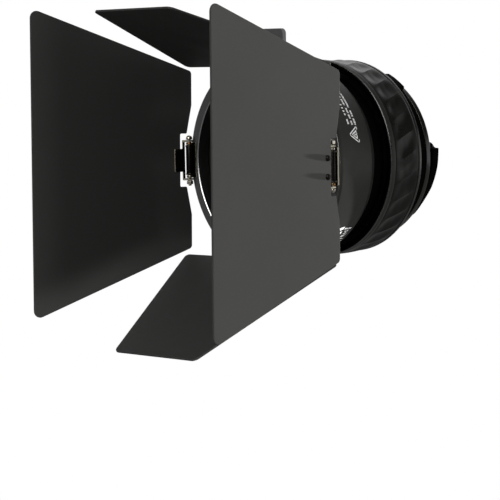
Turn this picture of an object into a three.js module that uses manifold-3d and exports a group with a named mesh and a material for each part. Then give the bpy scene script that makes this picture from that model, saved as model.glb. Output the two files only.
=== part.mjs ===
// Barn door attachment: four hinged leaves on a turning front ring, carried by a lens
// barrel that slides in a scalloped focus grip, with a bayonet flange at the back.
// Millimetres. Optical axis parallel to Y, front towards -Y, +Z up.
// Origin: on the rear mounting face, at its bearing point straight above the optical axis.
//
// Inside the body group the optical axis is the Y axis and y is depth behind the front
// ring's face. Names ending in _Y are such depths, and names ending in _R are radii.
// Turned profiles list [radius, y]. Angles are degrees from +X towards +Z.
import * as THREE from "three";
import { mergeVertices } from "three/addons/utils/BufferGeometryUtils.js";
import Module from "manifold-3d";

const wasm = await Module();
wasm.setup();

// ---------------------------------------------------------------- driving dimensions
const BODY_LENGTH = 102; // front ring face to rear mounting face
const BEARING_R = 37; // height of the origin above the optical axis
const GAP = 0.3; // assembly clearance between neighbouring pieces

const RING_R = 62;
const RING_BORE_R = 56;
const RING_DEPTH = 2.8; // depth of the ring's flange
const RING_CHAMFER = 0.8;
const SPIGOT_R = 57.2;
const SPIGOT_END_Y = 9;
const GROOVE_DEPTH = 0.8; // guide groove round the spigot
const GROOVE_FRONT_Y = 4.9;
const GROOVE_REAR_Y = 7.4;
const RING_SCREW_Y = (GROOVE_FRONT_Y + GROOVE_REAR_Y) / 2;
const RING_SCREW_ANGLES = [60, 180, 300];
const BRACKET_SCREW_R = 59.2; // height of the bracket screws above the optical axis
const BRACKET_SCREW_X = 4.6;

const BARREL_FRONT_R = 61.3;
const BARREL_MOUTH_R = 57.6; // bore round the ring's spigot
const BARREL_MOUTH_Y = 9.6;
const BARREL_SEAT_R = 53; // bore round the lens
const BARREL_BORE_R = 50.9;
const BARREL_REAR_R = 56.1;
const BARREL_REAR_Y = 32.7;
const BARREL_TAIL_R = 52.7;
const BARREL_TAIL_Y = 38.5;
const LENS_R = 52.6;
const LENS_Y = 12;
const LENS_T = 3;

const SLEEVE_R = 50; // focus sleeve
const SLEEVE_BORE_R = 48;
const SLEEVE_FRONT_Y = 31.5;
const SLEEVE_REAR_Y = 60;
const CAM_PIN_Y = 58.5;
const CAM_PIN_R = 1.4;
const CAM_PIN_ANGLES = [60, -60, -180];
const FOCUS_IN = 9; // the head slides back this far ...
const FOCUS_OUT = 7; // ... and forward this far
const FOCUS_TURN = 70; // degrees of grip turn over the full travel

const CAM_R = 53.8;
const CAM_BORE_R = 51.2;
const CAM_FRONT_Y = 47.9;
const CAM_REAR_Y = 72.6;
const CAM_SLOT_R = 2.35; // half the slot's width
const CAM_SLOT_SPARE = 0.4; // slot length beyond the travel, at each end

const GRIP_FRONT_Y = 46.9;
const GRIP_REAR_Y = 74.2;
const GRIP_FRONT_R = 58.5;
const GRIP_REAR_R = 57.9;
const GRIP_BORE_R = 54.2;
const GRIP_SCALLOPS = 30;
const SCALLOP_DEPTH = 0.9;
const SCALLOP_LEAN = 7 / 20; // degrees per millimetre of depth
const SCALLOP_MID_Y = 61; // the scallops lean about this depth

const COLLAR_R = 50.9;
const COLLAR_FLANGE_R = 53.8;
const COLLAR_FLANGE_T = 2.4;
const COLLAR_FRONT_Y = 73;
const COLLAR_REAR_Y = 90.5;
const GUIDE_R = 47.4;
const GUIDE_BORE_R = 44.8;
const GUIDE_FRONT_Y = 40;
const GUIDE_FLOOR_T = 3;

const DISC_R = 48.6; // bayonet flange: front disc, claw band, rear nose
const DISC_REAR_Y = 92.6;
const BAND_R = 45.4;
const BAND_REAR_Y = 96.6;
const NOSE_R = 41;
const NOSE_CHAMFER = 0.8;
const FLANGE_BORE_R = 33;
const FLANGE_SCREW_R = 37; // distance of the flange screws from the optical axis
const FLANGE_SCREW_ANGLES = [45, 135, 225, 315];
const FLANGE_HOLE_R = 1.5;
const CLAW_COUNT = 3;
const CLAW_START = -50;
const CLAW_SPAN = 55.5;
const CLAW_ROOT_R = 44;
// claw radius grows along its span: [degrees from the start, radius]
const CLAW_RAMP = [
  [0, 47.6], [3, 48.0], [12, 48.1], [18, 48.5], [23, 49.1], [28, 49.8],
  [33, 50.2], [37, 50.6], [42, 51.1], [46, 51.4], [50, 51.6], [CLAW_SPAN, 52.0],
];

const CATCH_PIN_Y = 12;
const CATCH_PIN_Z = 64.2;
const CATCH_BASE_Z = 62.9;
const CATCH_BORE_R = 1.3;

const HINGE_Y = -3.8; // hinge axis, in front of the ring face
const HINGE_Z = 59.3; // hinge axis to optical axis
const HINGE_PIN_R = 1.1;
const HINGE_PIN_HALF = 14.9;
const HINGE_BORE_R = 1.4;
const NUT_FACE = 12.4; // nut and screw head bear this far either side of the middle

const RING_BRACKET_HALF = 10.6;
const RING_EAR_X = [7.8, 9.0];
const RING_EAR_HALF = 2.3; // hinge axis to the ear's edges
const KNUCKLE_R = 2.1;

// u is distance from the hinge axis along the leaf
const SHEET = 1.2; // leaf sheet thickness
const LEAF_OFFSET = 2.6; // leaf mid-plane to hinge axis
const LEAF_BRACKET_T = 1.0;
const LEAF_BRACKET_FACE = LEAF_OFFSET - SHEET / 2 - GAP; // its surface facing the leaf
const LEAF_EAR_X = [10.9, 12.1];
const WEB_HALF = 12.1;
const WEB_START_U = 2.6;
const WEB_END_U = 4.2;
const TAB_HALF = 6.9;
const TAB_END_U = 10;
const NOTCH_HALF = 16;
const NOTCH_U = 5.2;
const SHOULDER_HALF = 33; // where the slanted shoulder meets the hinge edge
const SHOULDER_U = 0.4;
const RIVET_U = 8.6;
const RIVET_X = 5.2;
const SKEW_U = 6.6; // the leaf sheets are skewed about this point

// start and end along u, half widths at the hinge edge and at the tip
const SIDE_LEAF = { startU: -3.2, endU: 108.3, hingeHalf: 53.3, tipHalf: 89.0 };
const END_LEAF = { startU: -2.0, endU: 96.9, hingeHalf: 61.2, tipHalf: 32.3 };

// Left and right are as seen from the front. turn: degrees round the optical axis from
// the top; splay: degrees outward from straight ahead; skew: degrees the leaf is turned
// in its own plane; side: leaf outboard (1) or inboard (-1) of the hinge axis.
const HINGES = [
  { name: "top", turn: 0, splay: 19.1, skew: -0.7, leaf: END_LEAF, side: -1 },
  { name: "bottom", turn: 180, splay: 27.4, skew: -2.8, leaf: END_LEAF, side: -1 },
  { name: "left", turn: -90, splay: 6.3, skew: 1.3, leaf: SIDE_LEAF, side: 1 },
  { name: "right", turn: 90, splay: 7.7, skew: -1.1, leaf: SIDE_LEAF, side: 1 },
];
const PAIR = [[-1, "a"], [1, "b"]]; // side along X and name suffix of paired fasteners

// ---------------------------------------------------------------- materials
const finish = (values) => new THREE.MeshStandardMaterial(values);
const leafPaint = () => finish({ color: 0x2c2c2b, roughness: 0.55, metalness: 0.2 });
const blackMetal = () => finish({ color: 0x121211, roughness: 0.38, metalness: 0.6 });
const ringPaint = () => finish({ color: 0x2a2a2a, roughness: 0.5, metalness: 0.2 });
const shellPlastic = () => finish({ color: 0x1b1b1a, roughness: 0.45, metalness: 0.0 });
const gripRubber = () => finish({ color: 0x191918, roughness: 0.6, metalness: 0.0 });
const chrome = () => finish({ color: 0xd9d3c4, roughness: 0.15, metalness: 1.0 });
const steel = () => finish({ color: 0x8c8a84, roughness: 0.3, metalness: 1.0 });
const glass = () => finish({ color: 0x1c2426, roughness: 0.05, metalness: 0.0 });

// ---------------------------------------------------------------- solids and meshes
const radians = THREE.MathUtils.degToRad;

// welds a closed geometry, drops collapsed triangles and turns its faces outward
function solid(geometry) {
  for (const key of Object.keys(geometry.attributes)) {
    if (key !== "position") geometry.deleteAttribute(key);
  }
  const welded = mergeVertices(geometry, 1e-4);
  const source = welded.index.array;
  const positions = welded.attributes.position.array;
  const corner = (index) => new THREE.Vector3().fromArray(positions, 3 * index);
  const triangles = [];
  let volume = 0;
  for (let i = 0; i < source.length; i += 3) {
    const [a, b, c] = [source[i], source[i + 1], source[i + 2]];
    if (a === b || b === c || a === c) continue;
    triangles.push(a, b, c);
    volume += corner(a).dot(corner(b).cross(corner(c)));
  }
  if (volume < 0) {
    for (let i = 0; i < triangles.length; i += 3) {
      [triangles[i + 1], triangles[i + 2]] = [triangles[i + 2], triangles[i + 1]];
    }
  }
  return new wasm.Manifold(
    new wasm.Mesh({
      numProp: 3,
      vertProperties: new Float32Array(positions),
      triVerts: new Uint32Array(triangles),
    }),
  );
}

function piece(parent, name, manifold, material) {
  const { vertProperties, triVerts } = manifold.getMesh();
  const geometry = new THREE.BufferGeometry();
  const positions = new THREE.BufferAttribute(new Float32Array(vertProperties), 3);
  geometry.setAttribute("position", positions);
  geometry.setIndex(new THREE.BufferAttribute(new Uint32Array(triVerts), 1));
  geometry.computeVertexNormals();
  const mesh = new THREE.Mesh(geometry, material);
  mesh.name = name;
  parent.add(mesh);
}

const place = (manifold, matrix) => manifold.transform(matrix.elements);

const moved = (manifold, x, y, z) => place(manifold, new THREE.Matrix4().setPosition(x, y, z));

const axes = (x, y, z, at = [0, 0, 0]) =>
  new THREE.Matrix4()
    .makeBasis(new THREE.Vector3(...x), new THREE.Vector3(...y), new THREE.Vector3(...z))
    .setPosition(...at);

// solid of revolution about Y; the profile starts and ends at radius 0
function turnedSolid(profile, segments) {
  const points = profile.map(([r, y]) => new THREE.Vector2(r, y));
  return solid(new THREE.LatheGeometry(points, segments));
}

// the same off the axis: the profile closes on itself
const turned = (profile, segments) => turnedSolid([...profile, profile[0]], segments);

function extruded(shape, depth, curveSegments, placement) {
  const options = { depth, curveSegments, bevelEnabled: false, steps: 1 };
  const geometry = new THREE.ExtrudeGeometry(shape, options);
  return solid(geometry.applyMatrix4(placement));
}

// outline in the Y-Z plane, extruded along X
const alongX = (shape, x0, x1, curveSegments) =>
  extruded(shape, x1 - x0, curveSegments, axes([0, 1, 0], [0, 0, 1], [1, 0, 0], [x0, 0, 0]));

// two such plates, mirrored left and right
const platePair = (shape, [inner, outer], curveSegments = 6) =>
  alongX(shape, -outer, -inner, curveSegments).add(alongX(shape, inner, outer, curveSegments));

// outline in the X-Z plane, extruded along Y
const alongY = (shape, y0, y1) =>
  extruded(shape, y1 - y0, 6, axes([1, 0, 0], [0, 0, 1], [0, -1, 0], [0, y1, 0]));

// outline in the X-Y plane, extruded along Z
const alongZ = (shape, z0, z1) =>
  extruded(shape, z1 - z0, 5, new THREE.Matrix4().setPosition(0, 0, z0));

// round bar of the given radius along a curve
function swept(radius, extrudePath, steps, curveSegments) {
  const section = new THREE.Shape();
  section.absarc(0, 0, radius, 0, 2 * Math.PI, false);
  const options = { steps, curveSegments, bevelEnabled: false, extrudePath };
  return solid(new THREE.ExtrudeGeometry(section, options));
}

function block(x0, x1, y0, y1, z0, z1) {
  const geometry = new THREE.BoxGeometry(x1 - x0, y1 - y0, z1 - z0);
  geometry.translate((x0 + x1) / 2, (y0 + y1) / 2, (z0 + z1) / 2);
  return solid(geometry);
}

// cylinder between two points
function rod(from, to, radius, segments) {
  const start = new THREE.Vector3(...from);
  const end = new THREE.Vector3(...to);
  const span = end.clone().sub(start);
  const geometry = new THREE.CylinderGeometry(radius, radius, span.length(), segments);
  const up = new THREE.Vector3(0, 1, 0);
  const turn = new THREE.Quaternion().setFromUnitVectors(up, span.clone().normalize());
  const placement = new THREE.Matrix4()
    .makeRotationFromQuaternion(turn)
    .setPosition(start.add(end).multiplyScalar(0.5));
  return solid(geometry.applyMatrix4(placement));
}

// cylinder parallel to X, centred on x = 0
const rodX = (half, y, z, radius, segments) => rod([-half, y, z], [half, y, z], radius, segments);

// cylinder parallel to Y
const rodY = ([x, z], y0, y1, radius, segments) => rod([x, y0, z], [x, y1, z], radius, segments);

// cylinder pointing out from the optical axis, between two distances from it
const rodRadial = (inner, outer, angle, y, radius, segments) =>
  rod(onCircle(inner, angle, y), onCircle(outer, angle, y), radius, segments);

// ---------------------------------------------------------------- outlines
const polar = (radius, angle) =>
  new THREE.Vector2(radius * Math.cos(radians(angle)), radius * Math.sin(radians(angle)));

function onCircle(radius, angle, y) {
  const point = polar(radius, angle);
  return [point.x, y, point.y];
}

const arc = (radius, from, to, steps) =>
  Array.from({ length: steps + 1 }, (_, k) => polar(radius, from + ((to - from) * k) / steps));

function polygon(points) {
  const shape = new THREE.Shape(points);
  shape.closePath();
  return shape;
}

// closed outline with a rounded corner at each point: [x, y, radius]
function roundedShape(corners, steps = 3) {
  const count = corners.length;
  const cornerPoint = (i) => new THREE.Vector2(...corners[i % count].slice(0, 2));
  const points = [];
  for (let i = 0; i < count; i++) {
    const point = cornerPoint(i);
    const radius = corners[i][2];
    if (!radius) {
      points.push(point);
      continue;
    }
    const back = cornerPoint(i + count - 1).sub(point).normalize();
    const ahead = cornerPoint(i + 1).sub(point).normalize();
    const half = Math.acos(THREE.MathUtils.clamp(back.dot(ahead), -1, 1)) / 2;
    const cut = radius / Math.tan(half);
    const inward = back.clone().add(ahead).normalize();
    const centre = point.clone().add(inward.multiplyScalar(radius / Math.sin(half)));
    const start = point.clone().add(back.multiplyScalar(cut)).sub(centre).angle();
    const end = point.clone().add(ahead.multiplyScalar(cut)).sub(centre).angle();
    let sweep = end - start;
    if (sweep > Math.PI) sweep -= 2 * Math.PI;
    if (sweep < -Math.PI) sweep += 2 * Math.PI;
    for (let k = 0; k <= steps; k++) {
      const t = start + (sweep * k) / steps;
      const [x, y] = [centre.x + radius * Math.cos(t), centre.y + radius * Math.sin(t)];
      points.push(new THREE.Vector2(x, y));
    }
  }
  if (THREE.ShapeUtils.area(points) < 0) points.reverse();
  return polygon(points);
}

function roundHole(shape, x, y, radius) {
  const hole = new THREE.Path();
  hole.absarc(x, y, radius, 0, 2 * Math.PI, true);
  shape.holes.push(hole);
}

// ---------------------------------------------------------------- front ring
// ring with its spigot and guide groove, drilled for the bracket screws
function frontRing() {
  const lip = 0.6; // chamfer at the front of the bore
  let ring = turned([
    [RING_BORE_R + lip, 0],
    [RING_R - RING_CHAMFER, 0],
    [RING_R, RING_CHAMFER],
    [RING_R, RING_DEPTH],
    [SPIGOT_R, RING_DEPTH],
    [SPIGOT_R, GROOVE_FRONT_Y],
    [SPIGOT_R - GROOVE_DEPTH, GROOVE_FRONT_Y],
    [SPIGOT_R - GROOVE_DEPTH, GROOVE_REAR_Y],
    [SPIGOT_R, GROOVE_REAR_Y],
    [SPIGOT_R, SPIGOT_END_Y],
    [RING_BORE_R, SPIGOT_END_Y],
    [RING_BORE_R, lip],
  ], 60);
  const cutEnd = 3.4;
  // countersink, open at the back of the ring's flange
  const sink = turnedSolid(
    [[0, 1.4], [0.7, 1.4], [1.85, RING_DEPTH], [1.85, cutEnd], [0, cutEnd]], 10,
  );
  for (const { turn } of HINGES) {
    for (const [sign] of PAIR) {
      const { x, z } = new THREE.Vector3(sign * BRACKET_SCREW_X, 0, BRACKET_SCREW_R)
        .applyAxisAngle(new THREE.Vector3(0, 1, 0), radians(turn));
      ring = ring.subtract(rodY([x, z], -1, cutEnd, 1.0, 10)).subtract(moved(sink, x, 0, z));
    }
  }
  return ring;
}

// ---------------------------------------------------------------- barrel and lens
// tapered shell with the two ears of the top catch
function lensBarrel() {
  const front = RING_DEPTH + GAP;
  const seatEnd = LENS_Y + LENS_T + GAP;
  let barrel = turned([
    [BARREL_MOUTH_R, front],
    [BARREL_FRONT_R, front],
    [BARREL_REAR_R, BARREL_REAR_Y],
    [BARREL_TAIL_R, BARREL_TAIL_Y],
    [SLEEVE_R + GAP, BARREL_TAIL_Y],
    [SLEEVE_R + GAP, SLEEVE_FRONT_Y - GAP],
    [BARREL_BORE_R, SLEEVE_FRONT_Y - GAP],
    [BARREL_BORE_R, seatEnd],
    [BARREL_SEAT_R, seatEnd],
    [BARREL_SEAT_R, BARREL_MOUTH_Y],
    [BARREL_MOUTH_R, BARREL_MOUTH_Y],
  ], 60);
  const halfLength = 3.4;
  const [rootZ, topZ] = [57, 67];
  const ear = roundedShape([
    [CATCH_PIN_Y - halfLength, rootZ, 0],
    [CATCH_PIN_Y + halfLength, rootZ, 0],
    [CATCH_PIN_Y + halfLength, topZ, 2.4],
    [CATCH_PIN_Y - halfLength, topZ, 2.4],
  ]);
  roundHole(ear, CATCH_PIN_Y, CATCH_PIN_Z, CATCH_BORE_R);
  barrel = barrel.add(platePair(ear, [6.2, 8.3]));
  for (const angle of RING_SCREW_ANGLES) {
    barrel = barrel.subtract(rodRadial(55, 64, angle, RING_SCREW_Y, 1.3, 12));
  }
  return barrel;
}

const ringGuideScrew = (angle) => rodRadial(56.75, 60.2, angle, RING_SCREW_Y, 1.0, 12);

function fresnelLens() {
  const grooveRadii = [12, 24, 36];
  return turnedSolid([
    [0, LENS_Y + 0.4],
    ...grooveRadii.flatMap((r) => [[r, LENS_Y + 1.0], [r + 0.6, LENS_Y + 0.35]]),
    [48.5, LENS_Y + 0.9],
    [49.4, LENS_Y],
    [LENS_R, LENS_Y],
    [LENS_R, LENS_Y + LENS_T],
    [0, LENS_Y + LENS_T],
  ], 40);
}

function lensRetainingRing() {
  const rear = LENS_Y - GAP;
  return turned([[50.4, 10.0], [52.7, 10.0], [52.7, rear], [49.6, rear], [49.6, 10.8]], 40);
}

// ---------------------------------------------------------------- focus mechanism
// plain tube
const tube = (bore, outer, front, rear) =>
  turned([[bore, front], [outer, front], [outer, rear], [bore, rear]], 48);

function focusSleeve() {
  let sleeve = tube(SLEEVE_BORE_R, SLEEVE_R, SLEEVE_FRONT_Y, SLEEVE_REAR_Y);
  for (const angle of CAM_PIN_ANGLES) {
    sleeve = sleeve.subtract(rodRadial(46, 56, angle, CAM_PIN_Y, CAM_PIN_R + GAP, 12));
  }
  return sleeve;
}

const camPin = (angle) => rodRadial(48.4, 53.4, angle, CAM_PIN_Y, CAM_PIN_R, 10);

// centre line of the cam slot whose pin stands at the given angle
class CamSlotPath extends THREE.Curve {
  constructor(angle) {
    super();
    this.angle = angle;
  }
  getPoint(t, target = new THREE.Vector3()) {
    const travel = FOCUS_IN + FOCUS_OUT;
    const slide = -FOCUS_OUT - CAM_SLOT_SPARE + t * (travel + 2 * CAM_SLOT_SPARE);
    const angle = this.angle + (FOCUS_TURN / travel) * slide;
    return target.set(...onCircle((CAM_R + CAM_BORE_R) / 2, angle, CAM_PIN_Y + slide));
  }
}

// ring inside the grip: three helical slots, open to both faces of the wall
function camRing() {
  let cam = tube(CAM_BORE_R, CAM_R, CAM_FRONT_Y, CAM_REAR_Y);
  for (const angle of CAM_PIN_ANGLES) {
    cam = cam.subtract(swept(CAM_SLOT_R, new CamSlotPath(angle), 9, 4));
  }
  return cam;
}

// smooth rims, leaning scallops between
function focusGrip() {
  // [y, radius, share of the scallop depth]: outside from front to rear, then the bore
  const profile = [
    [GRIP_FRONT_Y, GRIP_FRONT_R - 0.5, 0],
    [GRIP_FRONT_Y + 0.6, GRIP_FRONT_R, 0],
    [50.6, GRIP_FRONT_R + 0.1, 0],
    [51.3, GRIP_FRONT_R - 0.4, 0.5],
    [56, GRIP_FRONT_R + 0.2, 1],
    [61, GRIP_FRONT_R + 0.2, 1],
    [66, GRIP_FRONT_R, 1],
    [71, GRIP_FRONT_R - 0.5, 0.5],
    [71.6, GRIP_REAR_R, 0],
    [GRIP_REAR_Y - 0.6, GRIP_REAR_R, 0],
    [GRIP_REAR_Y, GRIP_REAR_R - 0.6, 0],
    [GRIP_REAR_Y, GRIP_BORE_R, 0],
    [49.2, GRIP_BORE_R, 0],
    [48.2, 56.2, 0],
  ];
  const closed = [...profile, profile[0]];
  const segments = GRIP_SCALLOPS * 2;
  const points = closed.map(([y, radius]) => new THREE.Vector2(radius, y));
  const geometry = new THREE.LatheGeometry(points, segments);
  const position = geometry.attributes.position;
  // even columns run along the hollows, odd ones along the crests
  for (let i = 0; i < position.count; i++) {
    const [y, rimRadius, share] = closed[i % closed.length];
    const column = Math.floor(i / closed.length) % segments;
    const lean = share > 0 ? radians((y - SCALLOP_MID_Y) * SCALLOP_LEAN) : 0;
    const angle = (column / segments) * 2 * Math.PI - lean;
    const radius = rimRadius - (column % 2 ? 0 : share * SCALLOP_DEPTH);
    position.setXYZ(i, radius * Math.sin(angle), y, radius * Math.cos(angle));
  }
  return solid(geometry);
}

// ---------------------------------------------------------------- rear collar and flange
function rearCollar() {
  const bore = GUIDE_R + GAP;
  const flangeRear = COLLAR_FRONT_Y + COLLAR_FLANGE_T;
  const chamfer = 1;
  const collar = turned([
    [bore, COLLAR_FRONT_Y],
    [COLLAR_FLANGE_R, COLLAR_FRONT_Y],
    [COLLAR_FLANGE_R, flangeRear],
    [COLLAR_R, flangeRear],
    [COLLAR_R, COLLAR_REAR_Y - chamfer],
    [COLLAR_R - chamfer, COLLAR_REAR_Y],
    [bore, COLLAR_REAR_Y],
  ], 48);
  const [lugStart, lugEnd] = [49.5, 66];
  const indexLug = polygon([...arc(54.4, lugStart, lugEnd, 4), ...arc(49.5, lugEnd, lugStart, 4)]);
  return collar.add(alongY(indexLug, 77.5, 85.5));
}

const flangeScrewPlaces = FLANGE_SCREW_ANGLES.map((angle) => polar(FLANGE_SCREW_R, angle).toArray());

// tube inside the collar, with an inward floor at the rear
function guideTube() {
  const floor = COLLAR_REAR_Y - GUIDE_FLOOR_T;
  let guide = turned([
    [GUIDE_BORE_R, GUIDE_FRONT_Y],
    [GUIDE_R, GUIDE_FRONT_Y],
    [GUIDE_R, COLLAR_REAR_Y],
    [FLANGE_BORE_R, COLLAR_REAR_Y],
    [FLANGE_BORE_R, floor],
    [GUIDE_BORE_R, floor],
  ], 48);
  for (const at of flangeScrewPlaces) {
    guide = guide.subtract(rodY(at, floor - 2, COLLAR_REAR_Y + 1, FLANGE_HOLE_R, 12));
  }
  return guide;
}

function claw(start) {
  const ramp = CLAW_RAMP.map(([angle, radius]) => polar(radius, start + angle));
  const outline = polygon([...ramp, ...arc(CLAW_ROOT_R, start + CLAW_SPAN, start, 8)]);
  return alongY(outline, 91.4, BAND_REAR_Y);
}

function bayonetFlange() {
  const front = COLLAR_REAR_Y + 0.4;
  let flange = turned([
    [FLANGE_BORE_R, front],
    [DISC_R, front],
    [DISC_R, DISC_REAR_Y],
    [BAND_R, DISC_REAR_Y],
    [BAND_R, BAND_REAR_Y],
    [NOSE_R, 97.2],
    [NOSE_R, BODY_LENGTH - NOSE_CHAMFER],
    [NOSE_R - NOSE_CHAMFER, BODY_LENGTH],
    [FLANGE_BORE_R, BODY_LENGTH],
  ], 48);
  for (let k = 0; k < CLAW_COUNT; k++) {
    flange = flange.add(claw(CLAW_START + (360 / CLAW_COUNT) * k));
  }
  const cutEnd = BODY_LENGTH + 1;
  for (const at of flangeScrewPlaces) {
    flange = flange
      .subtract(rodY(at, 90, cutEnd, FLANGE_HOLE_R, 12))
      .subtract(rodY(at, 98.9, cutEnd, 2.5, 12)); // counterbore
  }
  return flange;
}

// shank and head
const flangeScrew = (at) => rodY(at, 87.8, 100, 1.2, 10).add(rodY(at, 99.2, 101.3, 2.2, 10));

// ---------------------------------------------------------------- top catch
// upright plate on two arms round the pin, with a nose over the ring's rim
function topCatchPlate() {
  const [half, topZ] = [14, 77.3];
  const plate = roundedShape([
    [-half, CATCH_BASE_Z, 0.8],
    [half, CATCH_BASE_Z, 0.8],
    [half, topZ, 3],
    [-half, topZ, 3],
  ]);
  const arm = roundedShape([
    [7, CATCH_BASE_Z, 0],
    [11.4, 62.3, 0],
    [14.2, 62.5, 1.6],
    [14.2, 66.2, 1.8],
    [7, 67.6, 0],
  ]);
  roundHole(arm, CATCH_PIN_Y, CATCH_PIN_Z, CATCH_BORE_R);
  const nose = block(-4.5, 4.5, 0.7, 5.0, CATCH_BASE_Z, 64.8);
  return alongY(plate, 4.6, 7.4).add(platePair(arm, [3.4, 5.8])).add(nose);
}

const topCatchPin = () => rodX(8.7, CATCH_PIN_Y, CATCH_PIN_Z, 1.0, 12);

// coil round the catch pin
class CoilPath extends THREE.Curve {
  getPoint(t, target = new THREE.Vector3()) {
    const [length, turns, radius] = [4.8, 3.5, 1.85];
    const angle = t * turns * 2 * Math.PI;
    return target.set(
      length * (t - 0.5),
      CATCH_PIN_Y + radius * Math.cos(angle),
      CATCH_PIN_Z + radius * Math.sin(angle),
    );
  }
}

const topCatchSpring = () => swept(0.42, new CoilPath(), 28, 2);

// ---------------------------------------------------------------- hinge, fixed side
// Hinges are drawn for the top position and turned round the optical axis.

// flat web on the ring face, two ears forward to the hinge axis, a knuckle between them
function ringBracket() {
  const earRoot = -0.9;
  const earFront = HINGE_Y - RING_EAR_HALF;
  const [earLow, earHigh] = [HINGE_Z - RING_EAR_HALF, HINGE_Z + RING_EAR_HALF];
  const ear = roundedShape([
    [earRoot, earLow, 0],
    [earFront, earLow, 2.28],
    [earFront, earHigh, 2.28],
    [earRoot, earHigh, 0],
  ], 4);
  roundHole(ear, HINGE_Y, HINGE_Z, HINGE_BORE_R);
  let bracket = block(-RING_BRACKET_HALF, RING_BRACKET_HALF, -1.9, -GAP, 56.2, 61.6)
    .add(platePair(ear, RING_EAR_X, 5))
    .add(rodX(RING_EAR_X[0] + 0.2, HINGE_Y, HINGE_Z, KNUCKLE_R, 20))
    .subtract(rodX(12, HINGE_Y, HINGE_Z, HINGE_BORE_R, 12));
  for (const [sign] of PAIR) {
    const at = [sign * BRACKET_SCREW_X, BRACKET_SCREW_R];
    bracket = bracket.subtract(rodY(at, -1.6, 1, 1.0, 10));
  }
  return bracket;
}

// countersunk head at the back of the ring's flange
function bracketScrew(sign) {
  const screw = turnedSolid(
    [[0, -1.3], [0.7, -1.3], [0.7, 1.65], [1.4, 2.5], [1.4, 2.7], [0, 2.7]], 8,
  );
  return moved(screw, sign * BRACKET_SCREW_X, 0, BRACKET_SCREW_R);
}

// puts a piece turned about Y on the hinge axis, its +y end towards +X
const ontoHingeAxis = (part) =>
  place(part, axes([0, 1, 0], [1, 0, 0], [0, 0, -1], [0, HINGE_Y, HINGE_Z]));

// screw with a domed head
function hingePin() {
  const chamfer = 0.3;
  const end = -HINGE_PIN_HALF - 0.6;
  return ontoHingeAxis(turnedSolid([
    [0, end], [HINGE_PIN_R - chamfer, end], [HINGE_PIN_R, end + chamfer],
    [HINGE_PIN_R, NUT_FACE], [1.9, NUT_FACE], [1.9, 13.4], [1.2, 14.6], [0, HINGE_PIN_HALF],
  ], 12));
}

function lockNut() {
  const hexagon = turned([
    [HINGE_BORE_R, -NUT_FACE], [2.0, -NUT_FACE], [2.0, -14.2], [1.7, -14.6],
    [HINGE_BORE_R, -14.6],
  ], 6);
  return ontoHingeAxis(hexagon.subtract(rodY([0, 0], -20, 20, HINGE_BORE_R, 12)));
}

// ---------------------------------------------------------------- hinge, swinging side
// Hinge axis on X, leaf towards -y (y = -u), +z outboard.

function rivetHoles(shape, radius) {
  for (const [sign] of PAIR) roundHole(shape, sign * RIVET_X, -RIVET_U, radius);
}

// narrow tab riveted to the leaf, wide web, two ears round the pin
function leafBracket(side) {
  const face = side * LEAF_BRACKET_FACE;
  const back = face - side * LEAF_BRACKET_T;
  const plate = roundedShape([
    [-WEB_HALF, -WEB_END_U, 0.6],
    [-TAB_HALF, -WEB_END_U, 0],
    [-TAB_HALF, -TAB_END_U, 0.8],
    [TAB_HALF, -TAB_END_U, 0.8],
    [TAB_HALF, -WEB_END_U, 0],
    [WEB_HALF, -WEB_END_U, 0.6],
    [WEB_HALF, -WEB_START_U, 0.6],
    [-WEB_HALF, -WEB_START_U, 0.6],
  ], 2);
  rivetHoles(plate, 1.15);
  const ear = roundedShape([
    [-WEB_END_U, face, 0],
    [-1.6, side * 1.9, 0.8],
    [2.1, side * 1.9, 1.9],
    [2.1, side * -2.1, 1.9],
    [-1.6, side * -2.1, 1.0],
    [-WEB_END_U, side * -0.2, 0],
  ], 4);
  roundHole(ear, 0, 0, HINGE_BORE_R);
  return alongZ(plate, Math.min(face, back), Math.max(face, back))
    .add(platePair(ear, LEAF_EAR_X, 5));
}

// sheet notched round the hinge, turned a touch about a point beside its rivets
function leafSheet({ startU, endU, hingeHalf, tipHalf }, side, skew) {
  const outline = roundedShape([
    [hingeHalf, -startU, 2.5],
    [tipHalf, -endU, 4.2],
    [-tipHalf, -endU, 4.2],
    [-hingeHalf, -startU, 2.5],
    [-SHOULDER_HALF, -startU, 2],
    [-NOTCH_HALF, -SHOULDER_U, 0.8],
    [-NOTCH_HALF, -NOTCH_U, 0.8],
    [NOTCH_HALF, -NOTCH_U, 0.8],
    [NOTCH_HALF, -SHOULDER_U, 0.8],
    [SHOULDER_HALF, -startU, 2],
  ]);
  rivetHoles(outline, 1.2);
  const middle = side * LEAF_OFFSET;
  const turn = new THREE.Matrix4()
    .makeTranslation(0, -SKEW_U, 0)
    .multiply(new THREE.Matrix4().makeRotationZ(radians(skew)))
    .multiply(new THREE.Matrix4().makeTranslation(0, SKEW_U, 0));
  return place(alongZ(outline, middle - SHEET / 2, middle + SHEET / 2), turn);
}

// domed head on the leaf's free side, upset tail on the bracket
function leafRivet(side, sign) {
  const head = side * (LEAF_OFFSET + SHEET / 2 + GAP / 2);
  const tail = side * (LEAF_BRACKET_FACE - LEAF_BRACKET_T - GAP / 2);
  const rivet = turnedSolid([
    [0, head + side * 1.05], [1.1, head + side * 0.8], [1.75, head + side * 0.1],
    [1.75, head], [0.85, head], [0.85, tail], [1.4, tail],
    [1.3, tail - side * 0.5], [0, tail - side * 0.6],
  ], 8);
  const at = [sign * RIVET_X, -RIVET_U, 0];
  return place(rivet, axes([1, 0, 0], [0, 0, 1], [0, -1, 0], at));
}

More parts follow.
